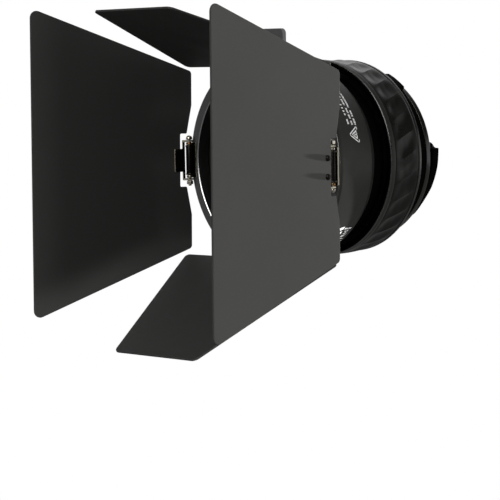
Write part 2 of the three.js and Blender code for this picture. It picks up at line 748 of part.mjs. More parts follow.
// ---------------------------------------------------------------- assembly
function addHinge(body, { name, turn, splay, skew, leaf, side }) {
  const station = new THREE.Group();
  station.rotation.y = radians(turn);
  body.add(station);
  piece(station, name + "_ring_bracket", ringBracket(), blackMetal());
  for (const [sign, suffix] of PAIR) {
    piece(station, name + "_bracket_screw_" + suffix, bracketScrew(sign), blackMetal());
  }
  piece(station, name + "_hinge_pin", hingePin(), chrome());
  piece(station, name + "_lock_nut", lockNut(), chrome());

  const swing = new THREE.Group();
  swing.position.set(0, HINGE_Y, HINGE_Z);
  swing.rotation.x = -radians(splay);
  station.add(swing);
  piece(swing, name + "_leaf_bracket", leafBracket(side), blackMetal());
  piece(swing, name + "_leaf", leafSheet(leaf, side, skew), leafPaint());
  for (const [sign, suffix] of PAIR) {
    piece(swing, name + "_leaf_rivet_" + suffix, leafRivet(side, sign), blackMetal());
  }
}

// one piece at each place, numbered from 1
function numbered(parent, name, places, build, material) {
  places.forEach((at, i) => piece(parent, name + "_" + (i + 1), build(at), material()));
}

const root = new THREE.Group();
const body = new THREE.Group();
body.position.set(0, -BODY_LENGTH, -BEARING_R);
root.add(body);

piece(body, "front_ring", frontRing(), ringPaint());
piece(body, "lens_barrel", lensBarrel(), shellPlastic());
numbered(body, "ring_guide_screw", RING_SCREW_ANGLES, ringGuideScrew, blackMetal);
piece(body, "fresnel_lens", fresnelLens(), glass());
piece(body, "lens_retaining_ring", lensRetainingRing(), blackMetal());
piece(body, "focus_sleeve", focusSleeve(), blackMetal());
numbered(body, "cam_pin", CAM_PIN_ANGLES, camPin, steel);
piece(body, "cam_ring", camRing(), steel());
piece(body, "focus_grip", focusGrip(), gripRubber());
piece(body, "rear_collar", rearCollar(), blackMetal());
piece(body, "guide_tube", guideTube(), blackMetal());
piece(body, "bayonet_flange", bayonetFlange(), blackMetal());
numbered(body, "flange_screw", flangeScrewPlaces, flangeScrew, steel);
piece(body, "top_catch_plate", topCatchPlate(), ringPaint());
piece(body, "top_catch_pin", topCatchPin(), steel());
piece(body, "top_catch_spring", topCatchSpring(), steel());
for (const hinge of HINGES) addHinge(body, hinge);

export default root;
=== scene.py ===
import math

import bmesh
import bpy
import numpy as np
from mathutils import Matrix, Vector
from mathutils.geometry import tessellate_polygon


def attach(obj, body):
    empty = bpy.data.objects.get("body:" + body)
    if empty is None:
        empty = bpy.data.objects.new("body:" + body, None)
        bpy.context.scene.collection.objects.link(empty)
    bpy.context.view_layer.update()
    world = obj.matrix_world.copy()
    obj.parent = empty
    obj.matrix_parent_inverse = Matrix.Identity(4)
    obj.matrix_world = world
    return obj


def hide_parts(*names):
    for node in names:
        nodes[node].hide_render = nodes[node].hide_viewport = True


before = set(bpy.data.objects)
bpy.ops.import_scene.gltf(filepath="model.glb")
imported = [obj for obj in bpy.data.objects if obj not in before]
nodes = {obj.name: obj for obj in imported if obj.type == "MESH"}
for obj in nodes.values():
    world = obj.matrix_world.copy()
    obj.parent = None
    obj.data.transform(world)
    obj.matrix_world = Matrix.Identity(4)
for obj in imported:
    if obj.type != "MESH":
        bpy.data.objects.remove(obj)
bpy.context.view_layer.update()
scene = bpy.context.scene
rad = math.radians

BODY_LENGTH = 102.0
BEARING_HEIGHT = 37.0  # bearing point above the optical axis
TO_WORLD = Matrix.Scale(0.001, 4) @ Matrix.Translation((0, -BODY_LENGTH, -BEARING_HEIGHT))
SIDES = ((-1, "a"), (1, "b"))  # sign along x and name suffix of paired pieces


# ------------------------------------------------------------------ outlines
def rounded(corners, steps=5):
    """Closed outline from (x, y, radius) corners, with an arc wherever the radius isn't 0."""
    outline, count = [], len(corners)
    for i, (x, y, radius) in enumerate(corners):
        if not radius:
            outline.append((x, y))
            continue
        corner = Vector((x, y))
        before = (Vector(corners[i - 1][:2]) - corner).normalized()
        after = (Vector(corners[(i + 1) % count][:2]) - corner).normalized()
        half = math.acos(max(-1.0, min(1.0, before.dot(after)))) / 2
        cut = radius / math.tan(half)
        centre = corner + (before + after).normalized() * (radius / math.sin(half))
        start = corner + before * cut - centre
        end = corner + after * cut - centre
        first = math.atan2(start.y, start.x)
        last = math.atan2(end.y, end.x)
        sweep = (last - first + math.pi) % (2 * math.pi) - math.pi
        for k in range(steps + 1):
            turn = first + sweep * k / steps
            outline.append(
                (centre.x + radius * math.cos(turn), centre.y + radius * math.sin(turn))
            )
    return outline


def area(points):
    """Signed area, positive for an anticlockwise outline."""
    return 0.5 * sum(
        points[i - 1][0] * points[i][1] - points[i][0] * points[i - 1][1]
        for i in range(len(points))
    )


def offset(points, distance):
    """The outline moved inwards, for an outline that runs anticlockwise."""
    moved, count = [], len(points)
    for i in range(count):
        point = Vector(points[i])
        before = (point - Vector(points[i - 1])).normalized()
        after = (Vector(points[(i + 1) % count]) - point).normalized()
        normal = Vector((-before.y, before.x))
        mitre = normal + Vector((-after.y, after.x))
        if mitre.length < 1e-6:
            mitre = normal.copy()
        mitre.normalize()
        moved.append(tuple(point + mitre * (distance / max(0.5, mitre.dot(normal)))))
    return moved


def circle(x, y, radius, count=24):
    turns = [2 * math.pi * k / count for k in range(count)]
    return [(x + radius * math.cos(turn), y + radius * math.sin(turn)) for turn in turns]


def polar(radius, degrees):
    """(x, z) at an angle from +X towards +Z."""
    return radius * math.cos(rad(degrees)), radius * math.sin(rad(degrees))


def around_axis(radius, degrees, y):
    """Body frame point at an angle from +X towards +Z."""
    x, z = polar(radius, degrees)
    return x, y, z


# ------------------------------------------------------------------ solids
def build(name, verts, faces, matrix=TO_WORLD, angle=32.0):
    """Closed mesh object with outward normals, smooth below the sharp angle in degrees."""
    mesh = bpy.data.meshes.new(name)
    mesh.from_pydata([tuple(matrix @ Vector(v)) for v in verts], [], faces)
    bm = bmesh.new()
    bm.from_mesh(mesh)
    bmesh.ops.remove_doubles(bm, verts=bm.verts, dist=2e-7)
    bmesh.ops.dissolve_degenerate(bm, edges=bm.edges, dist=1e-8)
    bmesh.ops.recalc_face_normals(bm, faces=bm.faces)
    if bm.calc_volume(signed=True) < 0:
        bmesh.ops.reverse_faces(bm, faces=bm.faces)
    bm.to_mesh(mesh)
    bm.free()
    ob = bpy.data.objects.new(name, mesh)
    scene.collection.objects.link(ob)
    smooth_shade(ob, angle)
    return ob


def smooth_shade(ob, angle):
    ob.data.shade_smooth()
    ob.data.set_sharp_from_angle(angle=rad(angle))


def weight_normals(ob):
    modifier = ob.modifiers.new("normals", "WEIGHTED_NORMAL")
    modifier.keep_sharp = True
    modifier.weight = 100
    return ob


def lathe(name, profile, segs=160, steps=5, matrix=TO_WORLD, angle=32.0, shape=None):
    """Solid of revolution about Y from closed (radius, y, fillet) corners, turning from +Z
    towards +X. shape(point index, turn, radius, y) may move a point."""
    points = rounded(profile, steps)
    count = len(points)
    verts, faces = [], []
    for i in range(segs):
        column = 2 * math.pi * i / segs
        for k, (radius, y) in enumerate(points):
            turn = column
            if shape:
                turn, radius, y = shape(k, column, radius, y)
            verts.append((radius * math.sin(turn), y, radius * math.cos(turn)))
    for i in range(segs):
        j = (i + 1) % segs
        for k in range(count):
            m = (k + 1) % count
            faces.append((i * count + k, i * count + m, j * count + m, j * count + k))
    return build(name, verts, faces, matrix, angle)


def plate(name, outline, z0, z1, matrix, holes=(), bevel=0.25, steps=3):
    """A flat plate from z0 to z1 with rounded edges; outline and holes are closed loops."""
    loops = [list(outline) if area(outline) > 0 else list(reversed(outline))]
    for hole in holes:
        loops.append(list(hole) if area(hole) < 0 else list(reversed(hole)))
    levels = []  # (inset, z) up the edge
    for k in range(steps + 1):
        t = math.pi / 2 * k / steps
        levels.append((bevel * (1 - math.sin(t)), z0 + bevel * (1 - math.cos(t))))
    for k in range(steps + 1):
        t = math.pi / 2 * k / steps
        levels.append((bevel * (1 - math.cos(t)), z1 - bevel * (1 - math.sin(t))))
    verts, faces = [], []
    bottom, top = [], []
    for loop in loops:
        count = len(loop)
        rings = []
        for inset, z in levels:
            rings.append(len(verts))
            verts.extend((x, y, z) for x, y in offset(loop, inset))
        for low, high in zip(rings, rings[1:]):
            for i in range(count):
                j = (i + 1) % count
                faces.append((low + i, low + j, high + j, high + i))
        bottom.append(range(rings[0], rings[0] + count))
        top.append(range(rings[-1], rings[-1] + count))
    for group, flip in ((bottom, True), (top, False)):
        index = [i for ring in group for i in ring]
        polygons = [[Vector((verts[i][0], verts[i][1], 0)) for i in ring] for ring in group]
        for triangle in tessellate_polygon(polygons):
            face = [index[i] for i in triangle]
            faces.append(tuple(reversed(face)) if flip else tuple(face))
    return weight_normals(build(name, verts, faces, matrix, angle=60))


def aimed(at, direction):
    """Body frame with its Y axis turned to a direction, placed at a point."""
    turn = Vector((0, 1, 0)).rotation_difference(Vector(direction).normalized())
    return TO_WORLD @ Matrix.Translation(at) @ turn.to_matrix().to_4x4()


def rod(name, start, end, radius, segs=24, bevel=0.0):
    """Cylinder between two points of the body frame, with rounded rims."""
    start = Vector(start)
    along = Vector(end) - start
    length = along.length
    profile = [(0, 0, 0), (radius, 0, bevel), (radius, length, bevel), (0, length, 0)]
    return lathe(name, profile, segs, 3, aimed(start, along))


def drill(ob, cutters):
    """Cut the cutters out of ob and remove them."""
    for cutter in cutters:
        modifier = ob.modifiers.new("hole", "BOOLEAN")
        modifier.operation = "DIFFERENCE"
        modifier.solver = "EXACT"
        modifier.object = cutter
    graph = bpy.context.evaluated_depsgraph_get()
    mesh = bpy.data.meshes.new_from_object(
        ob.evaluated_get(graph), preserve_all_data_layers=True, depsgraph=graph
    )
    mesh.name = ob.name
    ob.modifiers.clear()
    old = ob.data
    ob.data = mesh
    bpy.data.meshes.remove(old)
    for cutter in cutters:
        bpy.data.objects.remove(cutter)
    bm = bmesh.new()
    bm.from_mesh(mesh)
    bmesh.ops.remove_doubles(bm, verts=bm.verts, dist=1e-7)
    bmesh.ops.dissolve_degenerate(bm, edges=bm.edges, dist=1e-8)
    bm.to_mesh(mesh)
    bm.free()
    smooth_shade(ob, 32.0)
    weight_normals(ob)


def axes(x, y, z, at=(0, 0, 0)):
    matrix = Matrix((x, y, z)).transposed().to_4x4()
    matrix.translation = Vector(at)
    return matrix


ALONG_X = axes((0, 1, 0), (0, 0, 1), (1, 0, 0))  # plate outline in Y-Z, thickness along X
ALONG_Y = axes((1, 0, 0), (0, 0, 1), (0, -1, 0))  # plate outline in X-Z, thickness along -Y


# ------------------------------------------------------------------ materials
def add(tree, kind, values=None):
    """New shader node with the given input values."""
    node = tree.nodes.new("ShaderNode" + kind)
    for key, value in (values or {}).items():
        node.inputs[key].default_value = value
    return node


def new_material(name):
    material = bpy.data.materials.new(name)
    material.use_nodes = True
    tree = material.node_tree
    tree.nodes.clear()
    output = add(tree, "OutputMaterial")
    surface = add(tree, "BsdfPrincipled")
    tree.links.new(surface.outputs[0], output.inputs[0])
    return material, tree, surface, add(tree, "TexCoord")


def noise(tree, coords, scale, detail=3.0, rough=0.5, stretch=None):
    node = add(tree, "TexNoise", {"Scale": scale, "Detail": detail, "Roughness": rough})
    source = coords.outputs["Object"]
    if stretch:
        mapping = add(tree, "Mapping", {"Scale": stretch})
        tree.links.new(source, mapping.inputs[0])
        source = mapping.outputs[0]
    tree.links.new(source, node.inputs["Vector"])
    return node.outputs["Fac"]


def ramp(tree, source, stops, colours, target):
    """Colour ramp between two stops, linked to the target input."""
    node = add(tree, "ValToRGB")
    for element, position, colour in zip(node.color_ramp.elements, stops, colours):
        element.position = position
        element.color = (*colour, 1)
    tree.links.new(source, node.inputs[0])
    tree.links.new(node.outputs[0], target)


def map_range(tree, source, from_min, from_max, to_min, to_max):
    limits = {"From Min": from_min, "From Max": from_max, "To Min": to_min, "To Max": to_max}
    node = add(tree, "MapRange", limits)
    tree.links.new(source, node.inputs["Value"])
    return node


def vary_roughness(tree, surface, source, low, high):
    node = map_range(tree, source, 0.3, 0.7, low, high)
    tree.links.new(node.outputs[0], surface.inputs["Roughness"])


def bump(tree, surface, source, strength, distance):
    node = add(tree, "Bump", {"Strength": strength, "Distance": distance})
    tree.links.new(source, node.inputs["Height"])
    tree.links.new(node.outputs[0], surface.inputs["Normal"])


def coated(name, base, rough, spread, tone, grain, relief, specular, metallic, broad):
    """Painted or moulded surface: broad tone drift, fine grain, uneven gloss."""
    material, tree, surface, coords = new_material(name)
    speck = add(tree, "Mix")
    speck.data_type = "RGBA"
    speck.blend_type = "MULTIPLY"
    speck.inputs["Factor"].default_value = 0.5
    darker = tuple(c * (1 - tone) for c in base)
    lighter = tuple(c * (1 + tone) for c in base)
    drift = noise(tree, coords, broad)
    ramp(tree, drift, (0.3, 0.7), (darker, lighter), speck.inputs["A"])
    fine = noise(tree, coords, grain, detail=2.0, rough=0.6)
    ramp(tree, fine, (0.3, 0.72), ((0.72,) * 3, (1.0,) * 3), speck.inputs["B"])
    tree.links.new(speck.outputs["Result"], surface.inputs["Base Color"])
    smear = noise(tree, coords, broad * 5, detail=4.0, rough=0.6)
    vary_roughness(tree, surface, smear, rough - spread, rough + spread)
    surface.inputs["Metallic"].default_value = metallic
    surface.inputs["Specular IOR Level"].default_value = specular
    bump(tree, surface, fine, strength=relief, distance=0.00012)
    return material


def metal(name, base, tint, rough, stretch=(1, 1, 1)):
    """Bare metal drifting between two colours, with fine scratches stretched along an axis."""
    material, tree, surface, coords = new_material(name)
    drift = noise(tree, coords, 160.0)
    ramp(tree, drift, (0.35, 0.68), (tint, base), surface.inputs["Base Color"])
    fine = noise(tree, coords, 900.0, detail=4.0, rough=0.6, stretch=stretch)
    vary_roughness(tree, surface, fine, rough * 0.7, rough * 1.35)
    surface.inputs["Metallic"].default_value = 1.0
    bump(tree, surface, fine, strength=0.08, distance=0.00005)
    return material


def print_ink():
    material, tree, surface, coords = new_material("print_ink")
    fine = noise(tree, coords, 3000.0, detail=2.0)
    ramp(
        tree, fine, (0.3, 0.6), ((0.72, 0.72, 0.71), (0.86, 0.86, 0.85)),
        surface.inputs["Base Color"],
    )
    surface.inputs["Roughness"].default_value = 0.55  # the socket's value under its link
    vary_roughness(tree, surface, fine, 0.45, 0.65)
    bump(tree, surface, fine, strength=0.1, distance=0.00003)
    return material


def lens_glass():
    material, tree, surface, coords = new_material("lens_glass")
    drift = noise(tree, coords, 40.0, detail=2.0)
    ramp(
        tree, drift, (0.3, 0.7), ((0.010, 0.016, 0.018), (0.014, 0.024, 0.026)),
        surface.inputs["Base Color"],
    )
    vary_roughness(tree, surface, drift, 0.05, 0.09)
    surface.inputs["IOR"].default_value = 1.5
    surface.inputs["Transmission Weight"].default_value = 0.25
    surface.inputs["Specular Tint"].default_value = (0.85, 1.0, 1.0, 1)
    return material


# name, base colour, roughness, its spread, tone drift, grain noise scale, grain relief,
# specular level, metallic, broad noise scale
COATED = (
    ("leaf_paint", (0.0615, 0.0612, 0.0592), 0.58, 0.04, 0.05, 2600, 0.22, 0.16, 0, 9),
    ("ring_paint", (0.115, 0.115, 0.114), 0.46, 0.05, 0.08, 2400, 0.20, 0.25, 0, 25),
    ("shell_plastic", (0.0200, 0.0200, 0.0183), 0.40, 0.05, 0.12, 1900, 0.15, 0.30, 0, 22),
    ("grip_band", (0.021, 0.021, 0.0195), 0.38, 0.04, 0.12, 1700, 0.10, 0.30, 0, 30),
    ("grip_plastic", (0.0074, 0.0074, 0.0066), 0.29, 0.04, 0.15, 1700, 0.12, 0.30, 0, 30),
    ("black_metal", (0.0034, 0.0026, 0.0018), 0.26, 0.06, 0.2, 1500, 0.10, 0.25, 0, 60),
    # the next row's near-black is partly black finish and partly painted shade in gaps and bores
    ("matte_black_and_painted_shade", (0.0012, 0.0012, 0.0012), 0.62, 0.05, 0.2, 1500, 0.03, 0.02, 0, 60),
    # the next row's near-black is partly black paint and partly painted shade under the grip's
    # overhang
    ("collar_black_and_painted_shade", (0.0008, 0.0008, 0.0006), 0.60, 0.05, 0.15, 1600, 0.15, 0.02, 0, 30),
    ("catch_paint", (0.155, 0.155, 0.153), 0.46, 0.05, 0.06, 2400, 0.20, 0.25, 0, 25),
    # the next row is bare steel lightened as a painted highlight on bracket and ear edges
    ("sheared_edge_and_painted_highlight", (0.46, 0.43, 0.33), 0.36, 0.08, 0.2, 2200, 0.10, 0.6, 0.15, 90),
    # the next row is a lighter, glossier olive painted highlight for the collar's rear band
    ("collar_painted_highlight", (0.0040, 0.0044, 0.0024), 0.22, 0.04, 0.15, 1600, 0.08, 1.0, 0, 30),
)
# name, main colour, second colour, roughness and, where not even, the scratch stretch
METALS = (
    ("chrome", (0.93, 0.91, 0.86), (0.78, 0.70, 0.55), 0.14),
    ("worn_edge", (0.10, 0.095, 0.08), (0.05, 0.045, 0.035), 0.34),
    ("bare_chamfer", (0.24, 0.24, 0.235), (0.18, 0.18, 0.175), 0.22),
    ("turned_rim", (0.20, 0.20, 0.195), (0.16, 0.16, 0.155), 0.30),
    ("bare_lip", (0.66, 0.66, 0.65), (0.62, 0.62, 0.61), 0.22),
    ("brass_washer", (0.78, 0.47, 0.20), (0.55, 0.30, 0.12), 0.24),
    ("blackened_steel", (0.020, 0.020, 0.020), (0.012, 0.012, 0.012), 0.46),
    ("steel", (0.52, 0.51, 0.49), (0.4264, 0.4182, 0.4018), 0.28, (1, 12, 1)),
)
materials = {row[0]: coated(*row) for row in COATED}
materials.update({row[0]: metal(*row) for row in METALS})
materials["print_ink"] = print_ink()
materials["lens_glass"] = lens_glass()


def dress(ob, material, body, replaced=()):
    """Give ob its material and the body it rides on; replaced lists its CAD nodes."""
    ob.data.materials.clear()
    ob.data.materials.append(materials[material])
    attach(ob, body)
    if replaced:
        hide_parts(*replaced)


def repaint(ob, extra, choose):
    """Add the extra materials; choose(depth, radius, normal y) gives a face's slot."""
    for name in extra:
        ob.data.materials.append(materials[name])
    for face in ob.data.polygons:
        x, y, z = face.center
        depth = y * 1000 + BODY_LENGTH
        radius = math.hypot(x * 1000, z * 1000 + BEARING_HEIGHT)
        slot = choose(depth, radius, face.normal.y)
        if slot:
            face.material_index = slot


def bright_edges(ob, matrix, across, material="sheared_edge_and_painted_highlight", limit=0.35):
    """Show worn or bare metal on a plate's side walls; the default pale edge colour is bare
    steel lightened as a painted highlight. across: its thickness in matrix.
    """
    ob.data.materials.append(materials[material])
    slot = len(ob.data.materials) - 1
    direction = (matrix.to_3x3() @ Vector(across)).normalized()
    for face in ob.data.polygons:
        if abs(face.normal.dot(direction)) < limit:
            face.material_index = slot


# ------------------------------------------------------------------ front ring and barrel
RING_PROFILE = [  # radius, y, fillet
    (56.5, 0.0, 0.2), (62.0, 0.0, 0.75), (62.0, 2.8, 0.35), (57.2, 2.8, 0),
    (57.2, 4.9, 0.15), (56.4, 4.9, 0.1), (56.4, 7.4, 0.1), (57.2, 7.4, 0.15),
    (57.2, 9.0, 0.3), (56.0, 9.0, 0.3), (56.0, 0.5, 0.2),
]
CONE_FRONT_R, CONE_FRONT_Y = 61.3, 3.1
CONE_REAR_R, CONE_REAR_Y = 56.1, 32.7
BARREL_PROFILE = [  # radius, y, fillet
    (57.6, CONE_FRONT_Y, 0), (CONE_FRONT_R, CONE_FRONT_Y, 0.45),
    (CONE_REAR_R, CONE_REAR_Y, 0.8), (52.7, 38.5, 0.4), (50.3, 38.5, 0.2), (50.3, 31.2, 0),
    (50.9, 31.2, 0), (50.9, 15.3, 0), (53.0, 15.3, 0), (53.0, 9.6, 0), (57.6, 9.6, 0),
]
GUIDE_ANGLES = (60, 180, 300)  # guide screws, from +X towards +Z
GUIDE_Y = 6.15
GUIDE_PROFILE = [  # radius, distance out from the seat, fillet
    (0, 0, 0), (1.0, 0, 0.2), (1.0, 3.45, 0.25), (0.55, 3.45, 0), (0.55, 2.3, 0), (0, 2.3, 0),
]
CATCH_PIN = (12, 64.2)  # y, z of the catch pin
CATCH_HOLE = circle(*CATCH_PIN, 1.3)


def ring_slot(depth, radius, normal_y):
    """Plastic body, bare inner lip and bare outer front chamfer."""
    if depth > 0.62 and (radius > 57.0 or radius < 56.45):
        return 1
    if radius < 56.44 and depth < 0.62:
        return 2
    if radius > 61.2 and -0.97 < normal_y < -0.2:
        return 3
    return 0


def front_ring():
    ring = lathe("front_ring_shell", RING_PROFILE, segs=224)
    dress(ring, "ring_paint", "front_ring", ["front_ring"])
    repaint(ring, ("shell_plastic", "bare_lip", "bare_chamfer"), ring_slot)


def lens_barrel():
    barrel = lathe("lens_barrel_shell", BARREL_PROFILE, segs=224)
    cutters = []
    for angle in GUIDE_ANGLES:
        start = around_axis(55, angle, GUIDE_Y)
        cutters.append(rod("hole", start, around_axis(64, angle, GUIDE_Y), 1.3, 28))
    drill(barrel, cutters)
    dress(barrel, "shell_plastic", "lens_head", ["lens_barrel"])


def catch_ears():
    """Two ears on top of the barrel that carry the catch pin."""
    outline = rounded([(8.6, 60.1, 0), (15.4, 59.0, 0), (15.4, 67, 2.4), (8.6, 67, 2.4)], 7)
    for side, label in SIDES:
        x0, x1 = sorted((side * 6.2, side * 8.3))
        ear = plate(
            "catch_ear_" + label, outline, x0, x1, TO_WORLD @ ALONG_X, [CATCH_HOLE], 0.3
        )
        dress(ear, "shell_plastic", "lens_head")


def guide_screws():
    for i, angle in enumerate(GUIDE_ANGLES, 1):
        matrix = aimed(around_axis(56.75, angle, GUIDE_Y), around_axis(1, angle, 0))
        screw = lathe(f"guide_screw_{i}", GUIDE_PROFILE, 18, 3, matrix)
        dress(screw, "steel", "lens_head", [f"ring_guide_screw_{i}"])


front_ring()
lens_barrel()
catch_ears()
guide_screws()

# ------------------------------------------------------------------ marks printed on the barrel
# Angles are in degrees from +X towards +Z; y runs along the barrel's cone.
PRINT_LIFTS = (-0.05, 0.05)  # under and upper side of the print, from the cone's surface
MM_PER_DEGREE = 1.0 / math.degrees(1.0 / 58.0)  # along the cone, at its 58 mm radius
DASH_MIN, DASH_MAX, DASH_GAP = 0.75, 1.5, 0.24  # degrees
DASH_ROWS = (  # y, height, (first angle, last angle) of each run
    (20.9, 1.5, ((52.0, 46.0), (45.2, 44.3), (43.1, 33.1), (31.2, 27.4), (26.2, 22.4))),
    (17.7, 1.5, ((46.0, 39.6), (38.6, 34.4), (32.6, 29.3), (28.4, 25.9), (24.6, 22.2))),
    (14.0, 1.6, (
        (40.0, 36.0), (34.9, 33.7), (32.9, 31.6), (30.9, 29.8), (29.0, 27.6), (25.4, 22.4),
    )),
)
TRIANGLES = (  # (angle, y) corners, corner radius, line width
    ([(21.9, 22.2), (16.5, 12.7), (11.3, 22.2)], 0.9, 0.62),
    ([(19.3, 20.8), (16.55, 15.2), (13.7, 20.8)], 0.25, 0.75),
)
TRIANGLE_BAR = (16.9, 16.2, 18.2, 19.6)  # first angle, last angle, y0, y1
BLOCKS = (  # (angle, y) corners of the filled blocks on the lower side
    [(-38.9, 16.4), (-38.9, 21.2), (-40.8, 21.2), (-41.6, 16.4)],
    [(-42.6, 18.4), (-42.6, 21.2), (-45.4, 21.2), (-45.4, 18.4)],
)
FRAME = [(-40.4, 22.6), (-41.9, 30.0), (-52.8, 30.0), (-49.6, 22.6)]  # (angle, y) corners
BARS = (  # first angle, last angle, y0, y1
    (-43.2, -44.4, 24.4, 28.4), (-45.4, -46.2, 24.4, 28.4), (-47.2, -48.8, 24.4, 28.4),
    (-46.6, -49.0, 17.6, 21.2), (-50.2, -52.0, 17.6, 21.2), (-53.0, -54.2, 22.6, 27.0),
    (-54.0, -55.6, 28.2, 30.4),
)


def on_cone(angle, y, lift):
    slope = (CONE_REAR_R - CONE_FRONT_R) * (y - CONE_FRONT_Y) / (CONE_REAR_Y - CONE_FRONT_Y)
    return around_axis(CONE_FRONT_R + slope + lift, angle, y)


def block(verts, faces, corners):
    """A thin raised patch from a convex outline, fanned from its centre."""
    count = len(corners)
    middle = sum(c[0] for c in corners) / count, sum(c[1] for c in corners) / count
    low = len(verts)
    high = low + count + 1
    for lift in PRINT_LIFTS:
        verts.append(on_cone(*middle, lift))
        verts.extend(on_cone(angle, y, lift) for angle, y in corners)
    for i in range(1, count + 1):
        j = i % count + 1
        faces.append((low, low + j, low + i))
        faces.append((high, high + i, high + j))
        faces.append((low + i, low + j, high + j, high + i))


def bar(verts, faces, angle0, angle1, y0, y1):
    block(verts, faces, [(angle0, y0), (angle1, y0), (angle1, y1), (angle0, y1)])


def line_loop(verts, faces, corners, radius, width):
    """Closed line, width in mm, with its corners rounded to the radius."""
    loop = rounded([(angle * MM_PER_DEGREE, y, radius) for angle, y in corners], 4)
    if area(loop) < 0:
        loop.reverse()
    inner = offset(loop, width)
    n = len(loop)
    start = len(verts)
    for lift in PRINT_LIFTS:
        for points in (loop, inner):
            verts.extend(on_cone(x / MM_PER_DEGREE, y, lift) for x, y in points)
    for i in range(n):
        a, b = start + i, start + (i + 1) % n
        faces.append((a, b, b + n, a + n))
        faces.append((a + 2 * n, a + 3 * n, b + 3 * n, b + 2 * n))
        faces.append((a, a + 2 * n, b + 2 * n, b))
        faces.append((a + n, b + n, b + 3 * n, a + 3 * n))


def barrel_print():
    """Rows of dashes, a double triangle and a group of blocks and bars."""
    rng = np.random.default_rng(7)
    verts, faces = [], []
    for y, height, runs in DASH_ROWS:
        for angle, last in runs:
            while angle > last + 0.25:
                width = min(float(rng.uniform(DASH_MIN, DASH_MAX)), angle - last)
                bar(verts, faces, angle, angle - width, y, y + height)
                angle -= width + DASH_GAP
    for corners, radius, width in TRIANGLES:
        line_loop(verts, faces, corners, radius, width)
    bar(verts, faces, *TRIANGLE_BAR)
    for corners in BLOCKS:
        block(verts, faces, corners)
    line_loop(verts, faces, FRAME, radius=0, width=0.85)
    for extent in BARS:
        bar(verts, faces, *extent)
    dress(build("barrel_print_marks", verts, faces, angle=30), "print_ink", "lens_head")


barrel_print()

# ------------------------------------------------------------------ lens, its ring, the sleeve
LENS_GROOVES, LENS_PITCH = 16, 2.9
RETAINER_PROFILE = [  # radius, y, fillet
    (50.4, 10.0, 0.2), (52.7, 10.0, 0.2), (52.7, 11.7, 0.1), (49.6, 11.7, 0.15),
    (49.6, 10.8, 0.3),
]
SLEEVE_PROFILE = [  # radius, y, fillet
    (48.0, 31.5, 0.2), (50.0, 31.5, 0.2), (50.0, 60.0, 0.25), (48.0, 60.0, 0.25),
]
SLEEVE_HOLE_ANGLES = (30, 150, 270)  # from +Z towards +X
SLEEVE_HOLE_Y = 58.5


def fresnel_lens():
    """Front face in concentric saw-tooth grooves, plain rim and rear face."""
    profile = [(0, 12.4, 0)]
    for k in range(LENS_GROOVES):
        radius = 4.0 + LENS_PITCH * k
        profile += [(radius, 12.95, 0), (radius + 0.18, 12.35, 0)]
    profile += [
        (48.9, 12.9, 0), (49.4, 12.0, 0.2), (52.6, 12.0, 0.15), (52.6, 15.0, 0.15), (0, 15.0, 0),
    ]
    lens = lathe("fresnel_lens_glass", profile, 160, 3, angle=20)
    dress(lens, "lens_glass", "lens_head", ["fresnel_lens"])


def lens_retainer():
    ring = lathe("lens_retainer", RETAINER_PROFILE, 144, 3)
    dress(ring, "matte_black_and_painted_shade", "lens_head", ["lens_retaining_ring"])


def focus_sleeve():
    sleeve = lathe("focus_sleeve_tube", SLEEVE_PROFILE, 144, 3)
    depth = Vector((0, SLEEVE_HOLE_Y, 0))
    cutters = []
    for angle in SLEEVE_HOLE_ANGLES:
        outward = Vector((math.sin(rad(angle)), 0, math.cos(rad(angle))))
        cutters.append(rod("hole", outward * 46 + depth, outward * 56 + depth, 1.7))
    drill(sleeve, cutters)
    # near-black sleeve: black finish plus painted shade in the gap between barrel and grip
    dress(sleeve, "matte_black_and_painted_shade", "lens_head", ["focus_sleeve"])


fresnel_lens()
lens_retainer()
focus_sleeve()

# ------------------------------------------------------------------ focus grip
SCALLOPS, SCALLOP_DEPTH = 30, 1.22
SCALLOP_COLUMNS = 18  # mesh columns across one scallop
SCALLOP_TWIST = rad(7.6)
RIDGE_TURN = rad(90.0 - 2.2)  # a ridge passes here, from +Z towards +X, near mid width
CROWN_START, CROWN_END = 51.6, 71.2  # y extent of the crowned band
GRIP_FRONT = [  # y, radius up to the crown
    (46.9, 57.9), (47.0, 58.18), (47.25, 58.4), (47.6, 58.5), (50.3, 58.6), (50.6, 58.55),
    (50.75, 58.35), (50.8, 58.1), (51.15, 58.05), (51.3, 58.15),
]
GRIP_REAR = [  # y, radius behind the crown
    (71.5, 57.6), (71.65, 57.55), (71.85, 57.85), (72.1, 57.95), (73.5, 57.9), (73.85, 57.8),
    (74.1, 57.55), (74.2, 57.3),
]
GRIP_BORE = [  # y, radius from the rear forwards
    (74.2, 54.6), (74.0, 54.2), (49.3, 54.2), (49.1, 54.3), (48.3, 56.0), (48.0, 56.3),
]


def smooth(t):
    t = max(0.0, min(1.0, t))
    return t * t * (3 - 2 * t)


def grip_outside():
    """(y, radius) points of the grip's outer surface, front to rear."""
    crown = []
    for y in np.linspace(CROWN_START, CROWN_END, 34):
        t = (y - CROWN_START) / (CROWN_END - CROWN_START)
        crown.append((float(y), 58.25 + 0.5 * math.sin(math.pi * t) ** 0.8 - 0.5 * t))
    return GRIP_FRONT + crown + GRIP_REAR


def grip_slot(depth, radius, normal_y):
    """Turned rims front and rear, smooth front band, and the bore in near-black as painted shade
    inside the grip.
    """
    if radius > 57.2 and (depth < 47.7 or depth > 72.4):
        return 1
    if radius > 57.2 and depth < 50.65:
        return 2
    if radius < 56.8 and 47.2 < depth < 74.15:
        return 3
    return 0


